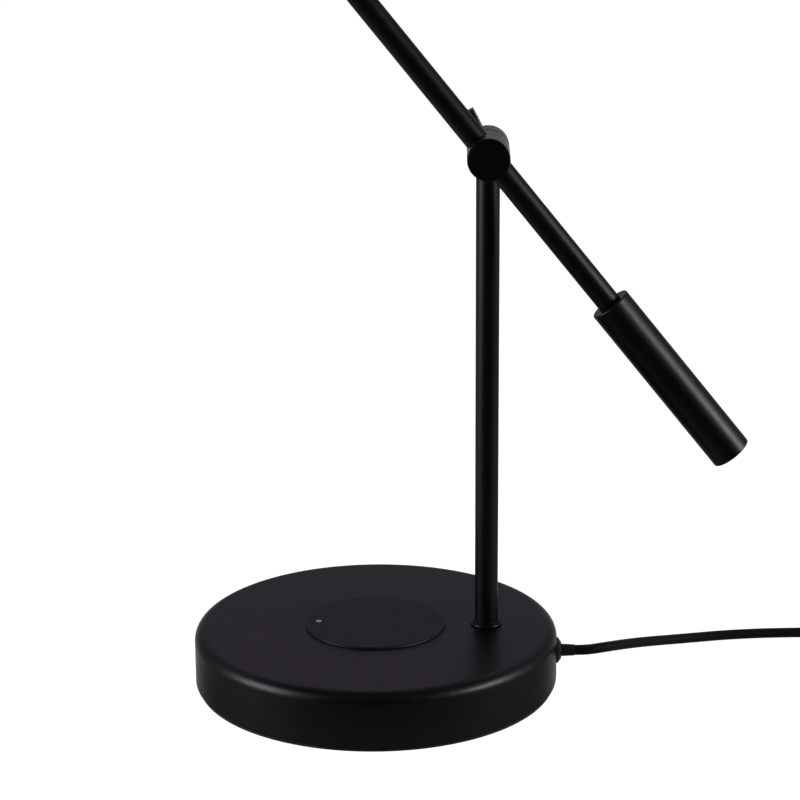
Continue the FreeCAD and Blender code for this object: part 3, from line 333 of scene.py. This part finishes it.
def makeBoard():
    material, tree, shader = startMaterial("circuitBoard")
    cells = place(tree, "ShaderNodeTexVoronoi")
    cells.distance = "MANHATTAN"
    cells.feature = "DISTANCE_TO_EDGE"
    cells.inputs["Scale"].default_value = circuit["cells"]
    tree.links.new(objectPoint(tree), cells.inputs["Vector"])
    line = calc(tree, "LESS_THAN", cells.outputs["Distance"], circuit["lineWidth"])
    colour = mixColour(tree, line, circuit["mask"], circuit["trace"])
    tree.links.new(colour, shader.inputs["Base Color"])
    bump(tree, shader, line, circuit["lineDepth"])
    shader.inputs["Roughness"].default_value = circuit["rough"]
    finish["circuitBoard"] = material


makeBoard()
print("finishes made:", len(finish))

wears = {
    "blackPaint": ["base_shell", "post", "post_collar", "pivot_rear_half", "pivot_front_half",
                   "pivot_wing_nut", "arm_tube", "counterweight", "hinge_front_half",
                   "hinge_rear_half", "hinge_wing_nut", "neck_tube", "socket_cup"],
    "shadePaint": ["shade"],
    "softTouchBlack": ["charger_cover"],
    "mouldedBlack": ["charger_tub", "shade_ring", "switch_knob", "supply_case", "supply_lid",
                     "plug_body"],
    "glandBlack": ["cord_gland"],
    "washerBlack": ["pivot_friction_washer", "hinge_friction_washer"],
    "footRubber": ["foot_pad"],
    "wireJacket": ["post_wire", "arm_wire", "head_wire", "inner_cord"],
    "bulbPlastic": ["bulb_body"],
    "chipPlastic": ["board_components"],
    "zincPlate": ["shell_pillars", "weight_screws", "base_plate", "plate_screws", "charger_screws",
                  "post_foot_insert", "post_nipple", "post_lock_washer", "post_nut",
                  "post_top_insert", "post_top_nipple", "pivot_washers", "hinge_washers",
                  "arm_grub_screws", "neck_nipple", "neck_nut"],
    "threadedZinc": ["pivot_stud", "hinge_stud"],
    "castIron": ["base_weight"],
    "brassPlain": ["socket_contacts", "plug_blades"],
    "copperWire": ["charging_coil"],
    "nickelPlate": ["bulb_cap"],
    "porcelain": ["lamp_socket"],
    "frostedGlass": ["bulb_globe"],
    "circuitBoard": ["charger_board", "supply_board"],
    "ferrite": ["ferrite_disc"],
    "lightLens": ["status_light"],
}

for look, wearers in wears.items():
    for wearer in wearers:
        part = nodes[wearer]
        if not part.data.materials:
            part.data.materials.append(finish[look])
        for slot in part.material_slots:
            slot.material = finish[look]
print("nodes dressed:", sum(len(wearers) for wearers in wears.values()))


def addObject(name, data):
    piece = bpy.data.objects.new(name, data)
    bpy.context.scene.collection.objects.link(piece)
    return piece


def metres(point):
    return tuple(distance / 1000 for distance in point)


# the mains cord: its lead and its coil on one spline, in millimetres and turns
cord = {
    "radius": 2.7,
    "exit": (104.4, 0.0, 16.4),
    "lead": [(110.9, 0, 16.4), (120.5, 4.6, 16.2), (132, 15.5, 13.6), (144, 27.5, 10.2),
             (157, 38.5, 6.9), (171, 46.6, 4.9), (188, 52.4, 4.2), (208, 55.6, 4.1),
             (231, 57.0, 4.1), (255, 57.3, 4.1), (278, 57.5, 4.1)],
    "coilCentre": (298.0, 99.5),
    "coilRadius": 42.0,
    "pitch": 6.7,
    "turnsEachLayer": 3.75,
    "turnsToClimb": 0.5,
    "turnsInAll": 8.25,
    "low": 4.1,
    "pointsEachTurn": 16,
    "stepsEachPoint": 10,
    "bevelSteps": 7,
    "realLength": 1.73,
}


# the coil winds in along the table, climbs a layer where it reverses, and winds out again on top
def radiusAt(turns):
    inward = min(turns, cord["turnsEachLayer"])
    outward = max(0.0, turns - cord["turnsEachLayer"] - cord["turnsToClimb"])
    return cord["coilRadius"] - cord["pitch"] * inward + cord["pitch"] * outward


def heightAt(turns):
    climbed = (turns - cord["turnsEachLayer"]) / cord["turnsToClimb"]
    climbed = min(1.0, max(0.0, climbed))
    return cord["low"] + cord["pitch"] * climbed * climbed * (3 - 2 * climbed)


# the spline's control points lie outside the circle that the cord follows
def coilPoint(turns):
    radius = radiusAt(turns) / math.cos(math.pi / cord["pointsEachTurn"])
    angle = 2 * math.pi * turns - math.pi / 2
    centreX, centreY = cord["coilCentre"]
    return (centreX + radius * math.cos(angle), centreY + radius * math.sin(angle), heightAt(turns))


# two straps hold the coil; each hugs the turns that it goes round, and its tail lies on top
tie = {
    "angles": (75.0, 200.0),  # degrees round the coil's centre, all else in millimetres
    "width": 7.0,
    "thick": 0.9,
    "slack": 0.35,
    "corner": 3.2,
    "cornerSteps": 5,
    "offTable": 0.05,
    "sag": 0.25,
    "overlap": 4.0,
    "tail": 13.0,
    "tailRise": 0.2,
    "tailNarrow": 0.75,
    "edgeRound": 0.2,
}


def turnsUnderTie(degrees):
    turns = (degrees + 90.0) / 360.0 % 1.0
    radii = []
    while turns <= cord["turnsInAll"]:
        radii.append(radiusAt(turns))
        turns += 1.0
    return min(radii), max(radii)


# the strap's line as (outwards, up), from the middle of its top round the turns to its tail
def tieLoop(nearest, furthest):
    gap = cord["radius"] + tie["slack"] + tie["thick"] / 2
    left, right = nearest - gap, furthest + gap
    low, high = tie["thick"] / 2 + tie["offTable"], cord["low"] + cord["pitch"] + gap
    middle, bend = (left + right) / 2, tie["corner"]
    loop = [(middle, high), ((middle + right) / 2, high - tie["sag"])]
    corners = ((right - bend, high - bend, 90), (right - bend, low + bend, 0),
               (left + bend, low + bend, -90), (left + bend, high - bend, -180))
    for cornerX, cornerZ, start in corners:
        for step in range(tie["cornerSteps"] + 1):
            angle = math.radians(start - 90 * step / tie["cornerSteps"])
            loop.append((cornerX + bend * math.cos(angle), cornerZ + bend * math.sin(angle)))
    top = high + tie["thick"]
    return loop + [(middle - tie["overlap"], high + tie["tailRise"]),
                   (middle - tie["overlap"] / 4, top), (middle + tie["tail"] / 2, top),
                   (middle + tie["tail"], top - tie["tailRise"])]


def makeTies():
    verts, faces = [], []
    for degrees in tie["angles"]:
        turn = math.radians(degrees)
        loop = tieLoop(*turnsUnderTie(degrees))
        for index, (out, up) in enumerate(loop):
            first = len(verts)
            half = tie["width"] / 2 * (tie["tailNarrow"] if index == len(loop) - 1 else 1.0)
            for across in (-half, 0.0, half):
                x = cord["coilCentre"][0] + out * math.cos(turn) - across * math.sin(turn)
                y = cord["coilCentre"][1] + out * math.sin(turn) + across * math.cos(turn)
                verts.append(metres((x, y, up)))
            if index:
                faces += [(first - 3 + k, first - 2 + k, first + 1 + k, first + k)
                          for k in range(2)]
    mesh = bpy.data.meshes.new("cordTies")
    mesh.from_pydata(verts, [], faces)
    mesh.materials.append(finish["tieFabric"])
    mesh.polygons.foreach_set("use_smooth", [True] * len(mesh.polygons))
    piece = addObject("cordTies", mesh)
    strap = piece.modifiers.new("thickness", "SOLIDIFY")
    strap.thickness = tie["thick"] / 1000
    strap.offset = 0.0
    edge = piece.modifiers.new("softEdge", "BEVEL")
    edge.width = tie["edgeRound"] / 1000
    edge.segments = 2
    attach(piece, "stand")
    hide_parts("cord_ties")
    return piece


# the route leaves the bush, runs round the coil and ends straight, towards the plug
def cordRoute():
    count = round(cord["turnsInAll"] * cord["pointsEachTurn"])
    points = [cord["exit"]] + cord["lead"]
    points += [coilPoint(k / cord["pointsEachTurn"]) for k in range(count)]
    endX = cord["coilCentre"][0] + radiusAt(cord["turnsInAll"])
    endZ = heightAt(cord["turnsInAll"])
    for past in (0, 2 * cord["radius"]):
        points.append((endX, cord["coilCentre"][1] + past, endZ))
    return points


def makeCord(straps):
    points = cordRoute()
    curve = bpy.data.curves.new("powerCord", "CURVE")
    curve.dimensions = "3D"
    curve.resolution_u = cord["stepsEachPoint"]
    curve.bevel_depth = cord["radius"] / 1000
    curve.bevel_resolution = cord["bevelSteps"]
    curve.use_fill_caps = True
    spline = curve.splines.new("NURBS")
    spline.points.add(len(points) - 1)
    for knot, point in zip(spline.points, points):
        knot.co = (*metres(point), 1.0)
    spline.order_u = 3
    spline.use_endpoint_u = True
    curve.materials.append(finish["cordJacket"])
    piece = addObject("powerCord", curve)
    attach(piece, "stand")
    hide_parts("cord_lead", "cord_coil")


makeCord(makeTies())
print("cord laid")


# which rays look at the room: the camera's own, and those that gloss or glass sends on
def rayKinds(tree):
    rays = tree.nodes.new("ShaderNodeLightPath").outputs
    shiny = calc(tree, "MAXIMUM", rays["Is Glossy Ray"], rays["Is Transmission Ray"])
    return rays["Is Camera Ray"], shiny


# the table is white to the camera; gloss sees it white too, but falling off to the front
table = {"left": -1.6, "right": 1.6, "front": -0.30, "back": 3.4, "glow": 0.96, "paint": 0.15,
         "fallOff": (-0.17, 0.05), "frontGlow": 0.0}


def makeFloor():
    mesh = bpy.data.meshes.new("floor")
    corners = [(table["left"], table["front"], 0), (table["right"], table["front"], 0),
               (table["right"], table["back"], 0), (table["left"], table["back"], 0)]
    mesh.from_pydata(corners, [], [(0, 1, 2, 3)])
    material, tree, shader = startMaterial("paleTable")
    eye, shiny = rayKinds(tree)
    depth = splitAxes(tree, objectPoint(tree))[1]
    lit = remap(tree, depth, *table["fallOff"], table["frontGlow"], 1.0)
    seen = calc(tree, "MAXIMUM", eye, calc(tree, "MULTIPLY", shiny, lit))
    tree.links.new(calc(tree, "MULTIPLY", seen, table["glow"]), shader.inputs["Emission Strength"])
    shader.inputs["Emission Color"].default_value = (1, 1, 1, 1)
    shader.inputs["Base Color"].default_value = (table["paint"],) * 3 + (1.0,)
    shader.inputs["Roughness"].default_value = 1.0
    shader.inputs["Specular IOR Level"].default_value = 0.0
    mesh.materials.append(material)
    addObject("floor", mesh)


makeFloor()

# the room is white to the camera; gloss sees it white behind the lamp, grey above and dark in front
studio = {"ambient": 0.30, "front": 0.02, "behind": (0.0, 0.6), "overhead": 0.10,
          "above": (0.20, 0.75)}


def makeWorld():
    world = bpy.data.worlds.new("studio")
    bpy.context.scene.world = world
    world.use_nodes = True
    tree = world.node_tree
    background = tree.nodes["Background"]
    direction = splitAxes(tree, tree.nodes.new("ShaderNodeTexCoord").outputs["Generated"])
    behind = remap(tree, direction[1], *studio["behind"], studio["front"], 1.0)
    above = remap(tree, direction[2], *studio["above"], 0.0, studio["overhead"])
    eye, shiny = rayKinds(tree)
    room = calc(tree, "MULTIPLY", shiny, calc(tree, "MAXIMUM", behind, above))
    seen = calc(tree, "MAXIMUM", eye, room)
    other = calc(tree, "SUBTRACT", 1.0, calc(tree, "MAXIMUM", eye, shiny))
    strength = calc(tree, "ADD", seen, calc(tree, "MULTIPLY", other, studio["ambient"]))
    background.inputs["Color"].default_value = (1, 1, 1, 1)
    tree.links.new(strength, background.inputs["Strength"])


makeWorld()

# softboxes: place, aim, width, height, watts
softboxes = {
    "backWall": ((0.0, 1.5, 1.15), (0.0, 0.0, 0.1), 1.8, 0.6, 4.0),
    "leftBox": ((-1.40, -0.47, 0.46), (0.0, 0.0, 0.2), 0.80, 0.95, 38.0),
    "rightBox": ((1.5, -0.10, 0.50), (0.05, 0.0, 0.2), 0.60, 1.0, 9.0),
    "keyBox": ((1.40, -0.48, 0.52), (0.15, 0.0, 0.19), 0.50, 0.45, 22.0),
}


def makeSoftboxes():
    for name, (spot, aim, wide, tall, watts) in softboxes.items():
        light = bpy.data.lights.new(name, "AREA")
        light.shape = "RECTANGLE"
        light.size, light.size_y, light.energy = wide, tall, watts
        lamp = addObject(name, light)
        lamp.location = spot
        lamp.rotation_euler = (Vector(aim) - Vector(spot)).to_track_quat("-Z", "Y").to_euler()


makeSoftboxes()

view = {"place": (0.0448, -1.2194, 0.5111), "down": 0.2853, "turn": 0.0257, "roll": -0.0061,
        "lens": 111.8, "sensor": 36.0, "farthest": 20.0}


def makeCamera():
    data = bpy.data.cameras.new("studioCamera")
    data.lens = view["lens"]
    data.sensor_width = view["sensor"]
    data.clip_end = view["farthest"]
    camera = addObject("studioCamera", data)
    camera.matrix_world = (Matrix.Translation(view["place"]) @ Matrix.Rotation(view["turn"], 4, "Z")
                           @ Matrix.Rotation(math.pi / 2 - view["down"], 4, "X")
                           @ Matrix.Rotation(view["roll"], 4, "Z"))
    bpy.context.scene.camera = camera


makeCamera()
bpy.context.scene.view_settings.view_transform = "Standard"
print("studio ready")
